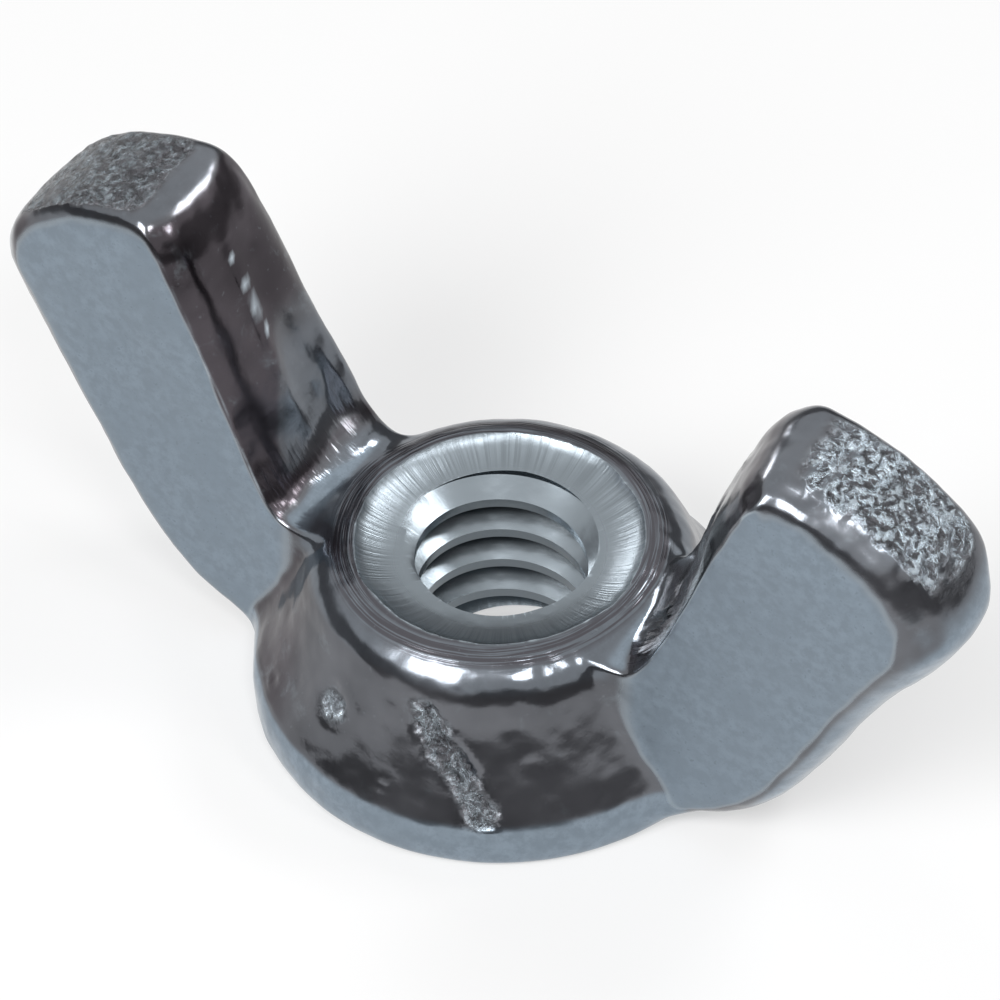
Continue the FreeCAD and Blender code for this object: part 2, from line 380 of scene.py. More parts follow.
def ground(z):
    """Keeps the seating face flat: nothing is moved below this height."""
    return smoothstep(0.0, 0.35, z)


def forged_relief(co, normal):
    """How far the forging stands off its smooth shape, in millimetres."""
    flat = smoothstep(0.9, 0.98, abs(normal.y)) * smoothstep(6.5, 8, abs(co.x))
    slow = noise.noise(co * 0.45) * 0.05
    hammered = noise.noise(co * 1.1 + Vector((7, 3, 1))) * 0.03
    hammered += noise.noise(co * 2.7 + Vector((2, 8, 5))) * 0.011
    return (slow + hammered * (1 - 0.8 * flat)) * ground(co.z)


# The way out of the right wing's end.
CAP_WAY = Vector((0.5, 0.0, 0.866))


def cap_facing(side, normal):
    """How far a surface faces out of its wing's end."""
    return side * normal.x * 0.5 + normal.z * 0.866


def cap_mask(co, normal):
    """One on the sheared end of a wing, falling to nothing before its rounded border."""
    side = 1 if co.x > 0 else -1
    torn = smoothstep(0.86, 0.96, cap_facing(side, normal)) * smoothstep(9.9, 11.0, abs(co.x))
    near = -1.15 - 0.25 * noise.noise(co * 0.9) if side > 0 else -1.75
    border = smoothstep(near - 0.35, near, co.y) * smoothstep(2.1, 1.75, co.y)
    return torn * smoothstep(9.5, 11, co.z) * border


def cap_chamfer(co):
    """The slope pressed along the near edge of the right wing's cap, in millimetres."""
    slope = smoothstep(-0.8, -1.5, co.y) * (-0.8 - co.y) * 0.42
    return slope * smoothstep(16.0, 18.4, co.dot(CAP_WAY)) * smoothstep(9.8, 11.2, co.x)


def shear_relief(co):
    """The torn, pitted skin of a sheared end, in millimetres."""
    side = 1.0 if co.x > 0 else 0.55
    pits = noise.noise(co * 3.4) * 0.05 + noise.noise(co * 7.1) * 0.035
    torn = abs(noise.noise(Vector((co.x * 1.5, co.y * 2.4, co.z * 1.5)) + Vector((3, 9, 4))))
    return side * (pits - torn * 0.09)


# Marks struck into the cone: angle round the hub, height, size and depth in millimetres.
DENTS = [
    (-133.0, 2.2, 0.26, 0.05),
    (-124.0, 3.0, 0.2, 0.03),
    (-88.0, 2.1, 0.2, 0.03),
    (-50.0, 3.2, 0.3, 0.03),
    (70.0, 3.0, 0.35, 0.06),
    (118.0, 2.4, 0.25, 0.05),
]
CRATER = Vector((-2.01, -5.91, 3.32))
CRATER_SIZE = 0.66
SCAR = (Vector((1.05, -5.75, 4.5)), Vector((3.3, -6.35, 1.85)))
SCAR_WIDTH = 0.62
SCRATCH = (Vector((12.18, -2.2, 13.58)), Vector((13.54, -2.2, 12.68)))

# Rubbed ridges, struck pits and a scratch, where the plate is worn to lighter metal; the two
# streaks down the wings' inner edges are partly worn ridge and partly painted highlight where
# light catches the ridge. Where each starts and ends, its half width, how strong it is, and how
# ragged.
STREAKS = [
    ((-8.8, -0.15, 13.3), (-7.75, -0.1, 10.3), 0.13, 0.75, 1.6),
    ((8.5, 0.1, 13.0), (7.4, 0.15, 9.9), 0.13, 0.75, 1.6),
    ((-2.05, -5.95, 3.35), (-2.3, -6.2, 2.95), 0.09, 0.6, 0.9),
    ((-1.95, -5.95, 3.4), (-1.9, -6.2, 2.9), 0.09, 0.7, 0.9),
    ((-1.8, -5.95, 3.4), (-1.55, -6.25, 3.05), 0.09, 0.6, 0.9),
    ((15.95, 0.2, 10.9), (12.3, 0.1, 4.6), 0.16, 0.5, 0.9),
    ((-15.95, -0.2, 10.9), (-12.3, -0.1, 4.6), 0.16, 0.5, 0.9),
    (*SCRATCH, 0.05, 0.7, 0.2),
]


def nearest_gap(co, start, end):
    """How far a point lies from a straight stretch, and how far along it."""
    line = end - start
    along = min(max((co - start).dot(line) / line.length_squared, 0.0), 1.0)
    return (co - start - line * along).length, along


def burnish_and_highlight(co):
    """How strongly a point of the surface is burnished, with painted highlight on the inner-edge
    streaks.
    """
    best = 0.0
    for start, end, width, strength, ragged in STREAKS:
        start, end = Vector(start), Vector(end)
        if (co - start).length > (end - start).length + 3 * width:
            continue
        gap, along = nearest_gap(co, start, end)
        reach = width * (0.35 + 2.6 * along * (1 - along))
        gap += ragged * width * (noise.noise(co * 2.3) + 0.6 * noise.noise(co * 5.9))
        best = max(best, strength * smoothstep(reach * 1.5, reach * 0.4, gap))
    return best


def scar_zone(co):
    gap, along = nearest_gap(co, *SCAR)
    gap += 0.2 * noise.noise(co * 1.7)
    return smoothstep(SCAR_WIDTH, SCAR_WIDTH * 0.4, gap)


def cone_point(angle, height):
    turn = math.radians(angle)
    rows = HUB_SECTION[RIM_ROW:CROWN_ROW + 1]
    for (r0, z0), (r1, z1) in zip(rows, rows[1:]):
        if z0 <= height <= z1:
            radius = lerp(r0, r1, (height - z0) / (z1 - z0))
    return Vector((radius * math.cos(turn), radius * math.sin(turn), height))


def dent_relief(co):
    """Small dents and the crumpled scar on the front of the cone."""
    depth = 0.0
    for angle, height, size, deep in DENTS:
        gap = (co - cone_point(angle, height)).length / size
        if gap < 2:
            depth -= deep * math.exp(-gap * gap * 1.6)
            depth += deep * 0.35 * math.exp(-((gap - 1.25) * 3.2) ** 2)
    away = co - CRATER
    gap = away.length / CRATER_SIZE
    if gap < 2.2:
        fingers = noise.noise(Vector((away.x * 5.5, away.z * 2.2, 2.0))) * 0.09
        depth -= (0.04 + fingers) * math.exp(-(gap ** 4) * 0.9)
        depth += 0.035 * math.exp(-((gap - 1.3) * 3.0) ** 2)
    zone = scar_zone(co)
    if zone > 0.0:
        folds = abs(noise.noise(Vector((co.x * 1.5 + co.z * 0.8, co.y * 1.3, co.z * 1.3))))
        small = abs(noise.noise(Vector((co.x * 3.1, co.y * 2.6, co.z * 2.2 + 4.0))))
        depth += zone * (0.1 - folds * 0.42 - small * 0.18)
    return depth


def scoop_zone(co):
    """One in the scoop low on the far half of a wing's inner edge."""
    side = 1 if co.x > 0 else -1
    y = -side * co.y
    ridge = lerp(-1.4, 0.3, smoothstep(6.4, 10.5, co.z))
    zone = smoothstep(ridge - 0.12, ridge + 0.16, y)
    return zone * smoothstep(6.3, 6.9, co.z) * smoothstep(11.4, 9.4, co.z)


def inner_relief(co, normal):
    """The trimmed line down a wing's inner edge, and the scoop on its far half."""
    side = 1 if co.x > 0 else -1
    inward = smoothstep(0.4, 0.75, -side * normal.x)
    y = -side * co.y
    line = 0.07 * math.exp(-((y + 0.12) / 0.2) ** 2)
    line *= 1 + 0.8 * noise.noise(Vector((side, 0, co.z * 2.4)))
    line *= smoothstep(6.6, 7.6, co.z) * smoothstep(14.2, 13.2, co.z)
    scoop = 0.26 * math.exp(-((y - 0.95) / 0.8) ** 2)
    scoop *= smoothstep(6.0, 7.2, co.z) * smoothstep(11.8, 9.2, co.z)
    wrinkle = 0.02 * noise.noise(Vector((co.y * 1.4, co.z * 0.8, side * 5.0)))
    return inward * (line - scoop + wrinkle)


def saddle_band(co):
    """One where a plateau turns up into its wing, falling off to both sides."""
    reach = (abs(co.x) - 6.1 - 0.07 * co.z) / 0.9
    return math.exp(-reach * reach)


def saddle_relief(co):
    """The ripples of metal drawn up from each plateau into its wing."""
    side = 1 if co.x > 0 else -1
    spread = smoothstep(2.5, 1.7, abs(co.y)) * smoothstep(4.2, 4.8, abs(co.x))
    ripple = noise.noise(Vector((abs(co.x) * 1.2 + side, co.y * 2.6, side * 3.0))) * 0.04
    ripple += noise.noise(Vector((abs(co.x) * 2.2, co.y * 5.5, side * 7.0))) * 0.03
    return spread * saddle_band(co) * ripple


def sculpt(piece):
    """Gives the smooth forging its waves, dents and sheared ends."""
    bm = bmesh.new()
    bm.from_mesh(piece.data)
    bm.normal_update()
    moves = []
    for v in bm.verts:
        co = v.co / MM
        shift = forged_relief(co, v.normal)
        drop = 0.0
        radius = math.hypot(co.x, co.y)
        if co.z > 9.5:
            shift += shear_relief(co) * cap_mask(co, v.normal)
            drop = cap_chamfer(co) if co.x > 9.8 and co.y < -0.8 else 0.0
        if radius < 8 and co.y < 0 and co.z > 0.5:
            shift += dent_relief(co)
        if co.y < -1.9 and co.x > 11:
            gap, _ = nearest_gap(co, *SCRATCH)
            shift -= 0.035 * smoothstep(0.2, 0.05, gap)
        if 4.2 < radius < 9 and abs(co.y) < 3 and 5.2 < co.z < 10 and v.normal.z > 0.2:
            shift += saddle_relief(co) * smoothstep(0.2, 0.6, v.normal.z)
        if abs(co.x) > 5.6 and co.z > 6:
            shift += inner_relief(co, v.normal)
        moves.append((v.normal * shift - CAP_WAY * drop) * MM)
    for v, move in zip(bm.verts, moves):
        v.co += move
    bm.to_mesh(piece.data)
    bm.free()


THREAD_STEPS = 96
THREAD_TURNS = 11
THREAD_BELOW = 3
THREAD_ENDS = ((-1.0, (0, 0, -1)), (7.2, (0, 0, 1)))
MERGE_GAP = 0.002


def thread_cutter(sizes):
    """The space inside the thread: a ridged column wound right-handed."""
    bm = bmesh.new()
    points = []
    major, minor, pitch = (
        s / MM for s in (sizes.thread_major, sizes.thread_minor, sizes.thread_pitch)
    )
    flank = (major - minor) * math.tan(math.radians(30))
    root = pitch * 0.08
    for k in range(THREAD_TURNS):
        z = (k - THREAD_BELOW) * pitch
        points.append((major, z - root))
        points.append((major, z + root))
        points.append((minor, z + root + flank))
        points.append((minor, z + pitch - root - flank))
    verts = [bm.verts.new((r * MM, 0.0, z * MM)) for r, z in points]
    edges = [bm.edges.new(pair) for pair in zip(verts, verts[1:])]
    bmesh.ops.spin(
        bm, geom=verts + edges, cent=(0, 0, 0), axis=AXIS,
        dvec=(0, 0, pitch * MM / THREAD_STEPS), angle=math.tau,
        steps=THREAD_STEPS, use_merge=False, use_duplicate=False,
    )
    bmesh.ops.remove_doubles(bm, verts=bm.verts, dist=MERGE_GAP * MM)
    for height, normal in THREAD_ENDS:
        geom = list(bm.verts) + list(bm.edges) + list(bm.faces)
        bmesh.ops.bisect_plane(
            bm, geom=geom, dist=0.0001 * MM, plane_co=(0, 0, height * MM),
            plane_no=normal, clear_outer=True,
        )
    bmesh.ops.holes_fill(bm, edges=[e for e in bm.edges if e.is_boundary], sides=0)
    bmesh.ops.recalc_face_normals(bm, faces=bm.faces)
    return bm


MOUTH_SECTION = [
    (0.0, 5.4),
    (2.3, 5.4),
    (2.9, 5.5),
    (3.3, 5.6),
    (3.65, 5.72),
    (3.95, 5.86),
    (4.15, 5.98),
    (4.27, 6.12),
    (4.36, 6.8),
    (0.0, 6.8),
]
MOUTH_STEPS = 256


def mouth_cutter():
    """The countersink, with its chatter and its uneven lip."""
    bm = spun(MOUTH_SECTION, MOUTH_STEPS, closed=False)
    bmesh.ops.remove_doubles(bm, verts=bm.verts, dist=MERGE_GAP * MM)
    bmesh.ops.recalc_face_normals(bm, faces=bm.faces)
    for v in bm.verts:
        co = v.co / MM
        radius = math.hypot(co.x, co.y)
        if 2.8 < radius and co.z < 6.7:
            turn = azimuth(co)
            chatter = math.sin(turn * 62 + noise.noise(Vector((turn * 3, 1, 0))) * 5)
            chatter *= 0.5 + abs(noise.noise(Vector((turn * 2, 7, 0)))) * 2
            far_side = smoothstep(-0.2, 0.9, math.sin(turn))
            v.co.z += 0.004 * MM * chatter * far_side * smoothstep(2.9, 3.6, radius)
            ragged = noise.noise(Vector((math.cos(turn), math.sin(turn), 0)) * 3.5)
            ragged += 0.5 * noise.noise(Vector((math.cos(turn), math.sin(turn), 3)) * 9)
            grow = 1 + 0.022 * ragged * smoothstep(3.8, 4.3, radius)
            v.co.x *= grow
            v.co.y *= grow
    return bm


LEAD_SECTION = [(0.0, 0.62), (2.25, 0.62), (3.2, -0.33), (0.0, -0.33)]
LEAD_STEPS = 128


def lead_cutter():
    """The chamfer of the bore at the seating face."""
    bm = spun(LEAD_SECTION, LEAD_STEPS, closed=False)
    bmesh.ops.remove_doubles(bm, verts=bm.verts, dist=MERGE_GAP * MM)
    bmesh.ops.recalc_face_normals(bm, faces=bm.faces)
    return bm


def cut(piece, cutter_mesh):
    """Takes a cutter's shape out of a piece."""
    cutter = finish_piece("cutter", cutter_mesh)
    tool = piece.modifiers.new("cut", "BOOLEAN")
    tool.operation = "DIFFERENCE"
    tool.solver = "EXACT"
    tool.object = cutter
    settle(piece)
    mesh = cutter.data
    bpy.data.objects.remove(cutter)
    bpy.data.meshes.remove(mesh)


def paleness(co, normal, radius):
    """How light the plate is: lighter on the rim, the wings' outer edges and the plateau, darker
    on the cone and the inner faces. This is partly a difference of finish and partly painted
    light: the cone's left side and the wings' inner faces are painted darker as shade and
    reflection of dark surroundings, the shoulder ring and the cap corners painted lighter as
    highlight so that lamp reflections there read white, and the right wing's torn end painted
    lighter than the left's."""
    side = 1 if co.x > 0 else -1
    rim = smoothstep(6.9, 7.1, radius) * smoothstep(8.4, 7.9, radius)
    rim *= smoothstep(1.75, 1.45, co.z)
    outward = side * normal.x * 0.87 - normal.z * 0.5
    outer = smoothstep(0.3, 0.8, outward) * smoothstep(8.6, 10.5, abs(co.x))
    top = smoothstep(0.8, 0.95, normal.z) * smoothstep(5.0, 5.6, co.z) * smoothstep(9, 8, co.z)
    top *= smoothstep(4.9, 5.3, abs(co.x)) * smoothstep(2.8, 2.2, abs(co.y))
    inward = -side * normal.x
    inner = smoothstep(0.45, 0.8, inward) * smoothstep(5.6, 6.4, abs(co.x))
    # Painted highlight: the shoulder ring round the mouth is lightened so that a lamp's
    # reflection on it reads white.
    ring = 0.55 * smoothstep(4.95, 5.35, co.z) * smoothstep(6.2, 5.8, radius)
    # Painted shade: the cone is darker on its left and lighter towards the middle and right, and
    # the inner faces are kept out of it so they stay dark as reflection of dark surroundings.
    cone = 0.38 * (1 - inner) * smoothstep(-5.2, -2.4, co.x)
    # Painted light: the right wing's torn end is made lighter, the left's is left dark.
    torn = cap_mask(co, normal) * (0.9 if side > 0 else 0.0)
    # The rounded cap corners are lightened: partly the tone of the smooth border, partly painted
    # highlight so that lamp reflections there read white.
    corner_tone_and_highlight = 0.5 * smoothstep(0.28, 0.6, cap_facing(side, normal)) * smoothstep(13.0, 13.8, co.z)
    scooped = 0.5 * inner * scoop_zone(co)
    pitted = 0.6 * smoothstep(1.1, 0.5, (co - CRATER).length / CRATER_SIZE)
    corner_tone_and_highlight *= 1 - cap_mask(co, normal)
    return max(rim, outer, top * 0.9, ring, cone, torn, corner_tone_and_highlight, scooped, pitted)


ZONES = ("satin", "pale", "shear", "cut", "edge", "burnish_and_highlight", "mouth", "lip", "drawn")


def mark_zones(piece):
    """Writes where the plate is satin, pale, sheared, cut or worn, for the material to read; the
    pale zone and the worn streaks hold painted shade and painted highlight as well as finish and
    wear.
    """
    bm = bmesh.new()
    bm.from_mesh(piece.data)
    bm.normal_update()
    zones = {name: bm.verts.layers.float.new(name) for name in ZONES}
    for v in bm.verts:
        co = v.co / MM
        radius = math.hypot(co.x, co.y)
        bore = radius < 3.35 or (radius < 4.3 and v.normal.z > 0.3 and co.z > 5.2
                                 and v.normal.dot(Vector((co.x, co.y, 0))) < -0.3)
        v[zones["cut"]] = 1.0 if bore else 0.0
        v[zones["mouth"]] = smoothstep(3.2, 3.4, radius) if bore and co.z > 5 else 0.0
        ring = smoothstep(4.1, 4.35, radius) * smoothstep(5.15, 4.8, radius)
        v[zones["lip"]] = ring * smoothstep(5.6, 5.9, co.z) if not bore else 0.0
        v[zones["drawn"]] = saddle_band(co) * smoothstep(7.6, 6.9, co.z) if co.z > 5.2 else 0.0
        flat = smoothstep(0.86, 0.97, abs(v.normal.y)) * smoothstep(5.2, 6.4, abs(co.x))
        v[zones["satin"]] = flat
        # Paleness: partly finish, partly painted shade, reflection and highlight.
        v[zones["pale"]] = max(flat, paleness(co, v.normal, radius))
        torn = cap_mask(co, v.normal) if co.z > 9 else 0.0
        if co.y < -4 and radius < 8:
            pit = smoothstep(1.0, 0.6, (co - CRATER).length / CRATER_SIZE)
            torn = max(0.75 * scar_zone(co), 0.5 * pit)
        v[zones["shear"]] = torn
        v[zones["burnish_and_highlight"]] = 0.0 if bore else burnish_and_highlight(co)
        bend = 0.0
        for e in v.link_edges:
            way = e.other_vert(v).co - v.co
            if way.length > 0:
                bend -= v.normal.dot(way) / way.length_squared
        v[zones["edge"]] = min(max(bend / len(v.link_edges) * MM, 0.0), 4.0)
    for _ in range(2):
        for name in ("satin", "pale", "edge"):
            layer = zones[name]
            blurred = [
                sum(e.other_vert(v)[layer] for e in v.link_edges) / len(v.link_edges)
                for v in bm.verts
            ]
            for v, value in zip(bm.verts, blurred):
                v[layer] = lerp(v[layer], value, 0.6)
    bm.to_mesh(piece.data)
    bm.free()


class NodeBench:
    """Short calls for laying out a material's nodes."""

    def __init__(self, material):
        self.tree = material.node_tree

    def node(self, kind, **settings):
        node = self.tree.nodes.new(kind)
        for key, value in settings.items():
            setattr(node, key, value)
        return node

    def join(self, source, target):
        self.tree.links.new(source, target)

    def feed(self, socket, value):
        if hasattr(value, "is_output"):
            self.join(value, socket)
        else:
            socket.default_value = value

    def math(self, operation, a, b=0.0, clamp=False):
        node = self.node("ShaderNodeMath", operation=operation, use_clamp=clamp)
        self.feed(node.inputs[0], a)
        self.feed(node.inputs[1], b)
        return node.outputs[0]

    def mix(self, factor, a, b, blend="MIX"):
        node = self.node("ShaderNodeMix", data_type="RGBA", blend_type=blend)
        self.feed(node.inputs["Factor"], factor)
        self.feed(node.inputs[6], a)
        self.feed(node.inputs[7], b)
        return node.outputs[2]

    def blend(self, factor, a, b):
        node = self.node("ShaderNodeMix", data_type="FLOAT")
        self.feed(node.inputs["Factor"], factor)
        self.feed(node.inputs[2], a)
        self.feed(node.inputs[3], b)
        return node.outputs[0]

    def noise(self, place, scale, detail=2.0, roughness=0.5, distortion=0.0):
        node = self.node("ShaderNodeTexNoise")
        self.join(place, node.inputs["Vector"])
        node.inputs["Scale"].default_value = scale
        node.inputs["Detail"].default_value = detail
        node.inputs["Roughness"].default_value = roughness
        node.inputs["Distortion"].default_value = distortion
        return node.outputs["Fac"]

    def ramp(self, value, low, high, out_low=0.0, out_high=1.0):
        node = self.node("ShaderNodeMapRange", interpolation_type="SMOOTHSTEP")
        self.feed(node.inputs["Value"], value)
        node.inputs["From Min"].default_value = low
        node.inputs["From Max"].default_value = high
        node.inputs["To Min"].default_value = out_low
        node.inputs["To Max"].default_value = out_high
        return node.outputs["Result"]

    def vector(self, operation, a, b=None):
        node = self.node("ShaderNodeVectorMath", operation=operation)
        self.feed(node.inputs[0], a)
        if b is not None:
            self.feed(node.inputs[1], b)
        return node.outputs["Value" if operation == "LENGTH" else "Vector"]

    def ring_place(self, radius, spoke):
        """A place that runs quickly outward and slowly round the axis."""
        node = self.node("ShaderNodeCombineXYZ")
        self.join(self.math("MULTIPLY", radius, 11000.0), node.inputs["X"])
        slow = self.vector("MULTIPLY", spoke, (1.6, 1.6, 0))
        return self.vector("ADD", node.outputs[0], slow)

    def zone(self, name):
        return self.node("ShaderNodeAttribute", attribute_name=name).outputs["Fac"]

    def bump(self, height, strength, distance, normal=None):
        node = self.node("ShaderNodeBump")
        self.feed(node.inputs["Height"], height)
        self.feed(node.inputs["Strength"], strength)
        node.inputs["Distance"].default_value = distance
        if normal is not None:
            self.join(normal, node.inputs["Normal"])
        return node.outputs["Normal"]


def rgba(colour, share=1.0):
    """A colour for a shader socket, made lighter or darker by a share."""
    return (*(c * share for c in colour), 1.0)


class PlateNodes:
    """The places, patterns and zones that the plate's colour, gloss and relief share."""

    def __init__(self, bench):
        self.place = bench.node("ShaderNodeTexCoord").outputs["Object"]
        self.zones = {name: bench.zone(name) for name in ZONES}
        flat = bench.vector("MULTIPLY", self.place, (1, 1, 0))
        spoke = bench.vector("NORMALIZE", flat)
        radius = bench.vector("LENGTH", flat)
        drawn_out = bench.vector("MULTIPLY", self.place, (0.12, 1.0, 0.12))
        self.chatter = bench.noise(spoke, 38, 3, 0.6)
        self.rings = bench.noise(bench.ring_place(radius, spoke), 1.0, 2, 0.6)
        self.comb = bench.noise(drawn_out, 6500, 2, 0.5)
        self.cloud = bench.noise(self.place, 260, 3, 0.6)
        self.grain = bench.noise(self.place, 2600, 4, 0.7)
        self.speck = bench.noise(self.place, 5200, 2, 0.6)
        self.streak = bench.noise(self.place, 900, 5, 0.65, 0.4)
        self.torn_skin = bench.noise(self.place, 3600, 5, 0.72, 0.5)


def smooth_colour(bench, nodes, finish, warm):
    """The smooth forging and the lighter satin faces; the forging is darkest where the pale zone
    is low, which on the cone's left and the inner faces is painted shade and reflection.
    """
    pale = nodes.zones["pale"]
    patch = bench.ramp(nodes.cloud, 0.35, 0.65)
    # Darkest plate, where the pale zone is nothing: partly the plate's tone, partly painted
    # shade and reflection of dark surroundings.
    dark = bench.mix(patch, rgba(warm, 0.36), rgba(warm, 0.64))
    middle = bench.mix(patch, rgba(finish.bright, 0.84), rgba(finish.bright, 1.16))
    light = bench.mix(bench.ramp(nodes.grain, 0.36, 0.66), rgba(finish.satin, 0.9),
                      rgba(finish.satin, 1.12))
    blotch = bench.noise(nodes.place, 520, 3, 0.6)
    light = bench.mix(bench.ramp(blotch, 0.4, 0.7, 0.0, 0.6), light, rgba(finish.satin, 0.92))
    light = bench.mix(bench.ramp(nodes.speck, 0.62, 0.74, 0.0, 0.45), light,
                      rgba(finish.satin, 0.66))
    colour = bench.mix(bench.ramp(pale, 0.0, 0.3), dark, middle)
    colour = bench.mix(bench.ramp(nodes.streak, 0.58, 0.74, 0.0, 0.35), colour,
                       rgba(finish.machined, 0.7))
    return bench.mix(bench.ramp(pale, 0.3, 1.0), colour, light)


def torn_colour(bench, nodes, finish):
    """The sheared skin: dark in its pits, lighter where the plate is pale, so the right wing's
    torn end is painted lighter than the left's.
    """
    torn = bench.mix(bench.ramp(nodes.torn_skin, 0.44, 0.62), rgba(finish.bright, 0.55),
                     rgba(finish.machined, 0.6))
    torn_light = bench.mix(bench.ramp(nodes.torn_skin, 0.44, 0.56), rgba(finish.bright, 0.7),
                           rgba(finish.machined, 1.5))
    return bench.mix(bench.ramp(nodes.zones["pale"], 0.2, 0.8), torn, torn_light)


def plate_colour(bench, nodes, finish):
    """The plate's colour, zone over zone."""
    zones = nodes.zones
    warm = (finish.bright[0] * 1.08, finish.bright[1] * 0.94, finish.bright[2] * 0.97)
    colour = smooth_colour(bench, nodes, finish, warm)
    colour = bench.mix(zones["shear"], colour, torn_colour(bench, nodes, finish))
    scraped = bench.mix(bench.ramp(nodes.chatter, 0.36, 0.64), rgba(finish.machined, 0.58),
                        rgba(finish.machined, 0.76))
    # Painted shade: the thread inside the bore is written darker than the cut plate.
    bore_with_painted_shade = bench.mix(zones["mouth"], rgba(finish.machined, 0.74), scraped)
    colour = bench.mix(zones["cut"], colour, bore_with_painted_shade)
    swage = bench.math("MULTIPLY", zones["lip"], bench.ramp(nodes.rings, 0.46, 0.58, 0.75, 0.0))
    colour = bench.mix(swage, colour, rgba(warm, 0.5))
    # Lighter convex edges: partly wear, partly painted glint where edges catch light.
    wear_and_glint = bench.math("MULTIPLY", bench.ramp(zones["edge"], 0.6, 1.8),
                      bench.ramp(nodes.streak, 0.35, 0.6, 0.2))
    colour = bench.mix(bench.math("MULTIPLY", wear_and_glint, 0.7), colour, rgba(finish.machined, 1.7))
    # Painted highlight: a thin lighter line round the satin faces, where their edges catch
    # light.
    border = bench.math("MULTIPLY", bench.ramp(zones["satin"], 0.15, 0.5),
                        bench.ramp(zones["satin"], 0.95, 0.6))
    colour = bench.mix(bench.math("MULTIPLY", border, 0.35), colour, rgba(finish.machined, 1.3))
    smooth_only = bench.ramp(zones["satin"], 0.6, 0.2, 0.0, 0.12)
    spark = bench.math("MULTIPLY", bench.ramp(nodes.speck, 0.66, 0.76), smooth_only)
    colour = bench.mix(spark, colour, rgba(finish.machined, 1.2))
    # Burnished streaks in lighter metal, partly painted highlight on the inner-edge ridges.
    return bench.mix(zones["burnish_and_highlight"], colour, rgba(finish.machined, 2.1))


def plate_roughness(bench, nodes):
    zones = nodes.zones
    rough = bench.blend(zones["satin"], bench.ramp(nodes.cloud, 0.3, 0.7, 0.13, 0.24),
                        bench.ramp(nodes.grain, 0.3, 0.7, 0.36, 0.5))
    rough = bench.blend(zones["shear"], rough, bench.ramp(nodes.streak, 0.3, 0.7, 0.14, 0.34))
    return bench.blend(zones["cut"], rough, bench.blend(zones["mouth"], 0.25, 0.34))


def plate_relief(bench, nodes):
    """Fine relief, laid layer on layer: grain, dimples, torn skin, chatter and rings."""
    zones = nodes.zones
    satin = zones["satin"]
    relief = bench.bump(nodes.grain, bench.blend(satin, 0.10, 0.22), 0.00003)
    dimples = bench.noise(nodes.place, 850, 2, 0.5)
    relief = bench.bump(dimples, bench.blend(satin, 0.3, 0.1), 0.00008, relief)
    relief = bench.bump(nodes.streak, 0.1, 0.00005, relief)
    for pattern, zone, strength, depth in (
        (nodes.torn_skin, "shear", 0.95, 0.00026),
        (nodes.chatter, "mouth", 0.35, 0.00005),
        (nodes.rings, "lip", 0.35, 0.00008),
        (nodes.comb, "drawn", 0.45, 0.00006),
    ):
        share = bench.math("MULTIPLY", zones[zone], strength)
        relief = bench.bump(pattern, share, depth, relief)
    return relief


def plate_material(finish):
    """Zinc plate: satin wing faces, brighter smooth forging, torn ends and a cut bore."""
    material = bpy.data.materials.new("zinc_plate")
    material.use_nodes = True
    bench = NodeBench(material)
    nodes = PlateNodes(bench)
    shader = material.node_tree.nodes["Principled BSDF"]
    shader.inputs["Metallic"].default_value = 1.0
    bench.join(plate_colour(bench, nodes, finish), shader.inputs["Base Color"])
    bench.join(plate_roughness(bench, nodes), shader.inputs["Roughness"])
    bench.join(plate_relief(bench, nodes), shader.inputs["Normal"])
    return material


class WINGNUT_OT_body(bpy.types.Operator):
    """Forge the hub and both wings, and tap the bore"""

    bl_idname = "wingnut.body"
    bl_label = "Wing nut body"

    def execute(self, context):
        sizes = context.scene.wing_nut_sizes
        piece = finish_piece("forged_nut", forging_cage(sizes))
        smooth = piece.modifiers.new("smooth", "SUBSURF")
        smooth.levels = SMOOTH_LEVELS
        smooth.render_levels = SMOOTH_LEVELS
        settle(piece)
        sculpt(piece)
        for cutter in (mouth_cutter(), thread_cutter(sizes), lead_cutter()):
            cut(piece, cutter)
        mark_zones(piece)
        piece.data.materials.clear()
        piece.data.materials.append(plate_material(context.scene.wing_nut_finish))
        piece.data.shade_smooth()
        piece.data.set_sharp_from_angle(angle=math.radians(SHARP_ANGLE))
        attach(piece, "root")
        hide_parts(CAD_NODE)
        return {"FINISHED"}


LAMP_DISTANCE = 0.25
LAMP_TARGET = Vector((0, 0, 0.006))


def softbox(name, azimuth_deg, elevation_deg, size, brightness):
    """A soft lamp of a given surface brightness that looks at the nut from a direction."""
    light = bpy.data.lights.new(name, "AREA")
    light.shape = "RECTANGLE"
    light.size = size[0]
    light.size_y = size[1]
    light.energy = brightness * math.pi * size[0] * size[1]
    lamp = bpy.data.objects.new(name, light)
    lamp.location = direction(azimuth_deg, elevation_deg) * LAMP_DISTANCE
    aim = LAMP_TARGET - lamp.location
    lamp.rotation_euler = aim.to_track_quat("-Z", "Y").to_euler()
    bpy.context.scene.collection.objects.link(lamp)


def direction(azimuth_deg, elevation_deg):
    turn, rise = math.radians(azimuth_deg), math.radians(elevation_deg)
    return Vector((math.cos(turn) * math.cos(rise), math.sin(turn) * math.cos(rise),
                   math.sin(rise)))


CAMERA_AZIMUTH = math.radians(35.471)
CAMERA_ELEVATION = math.radians(46.320)
CAMERA_ROLL = math.radians(3.636)
CAMERA_DISTANCE = 0.333882
CAMERA_TARGET = Vector((0, 0, 0.007))
CAMERA_LENS = 415.46
CAMERA_SENSOR = 36
CAMERA_SHIFT = (0.0016, 0.01535)


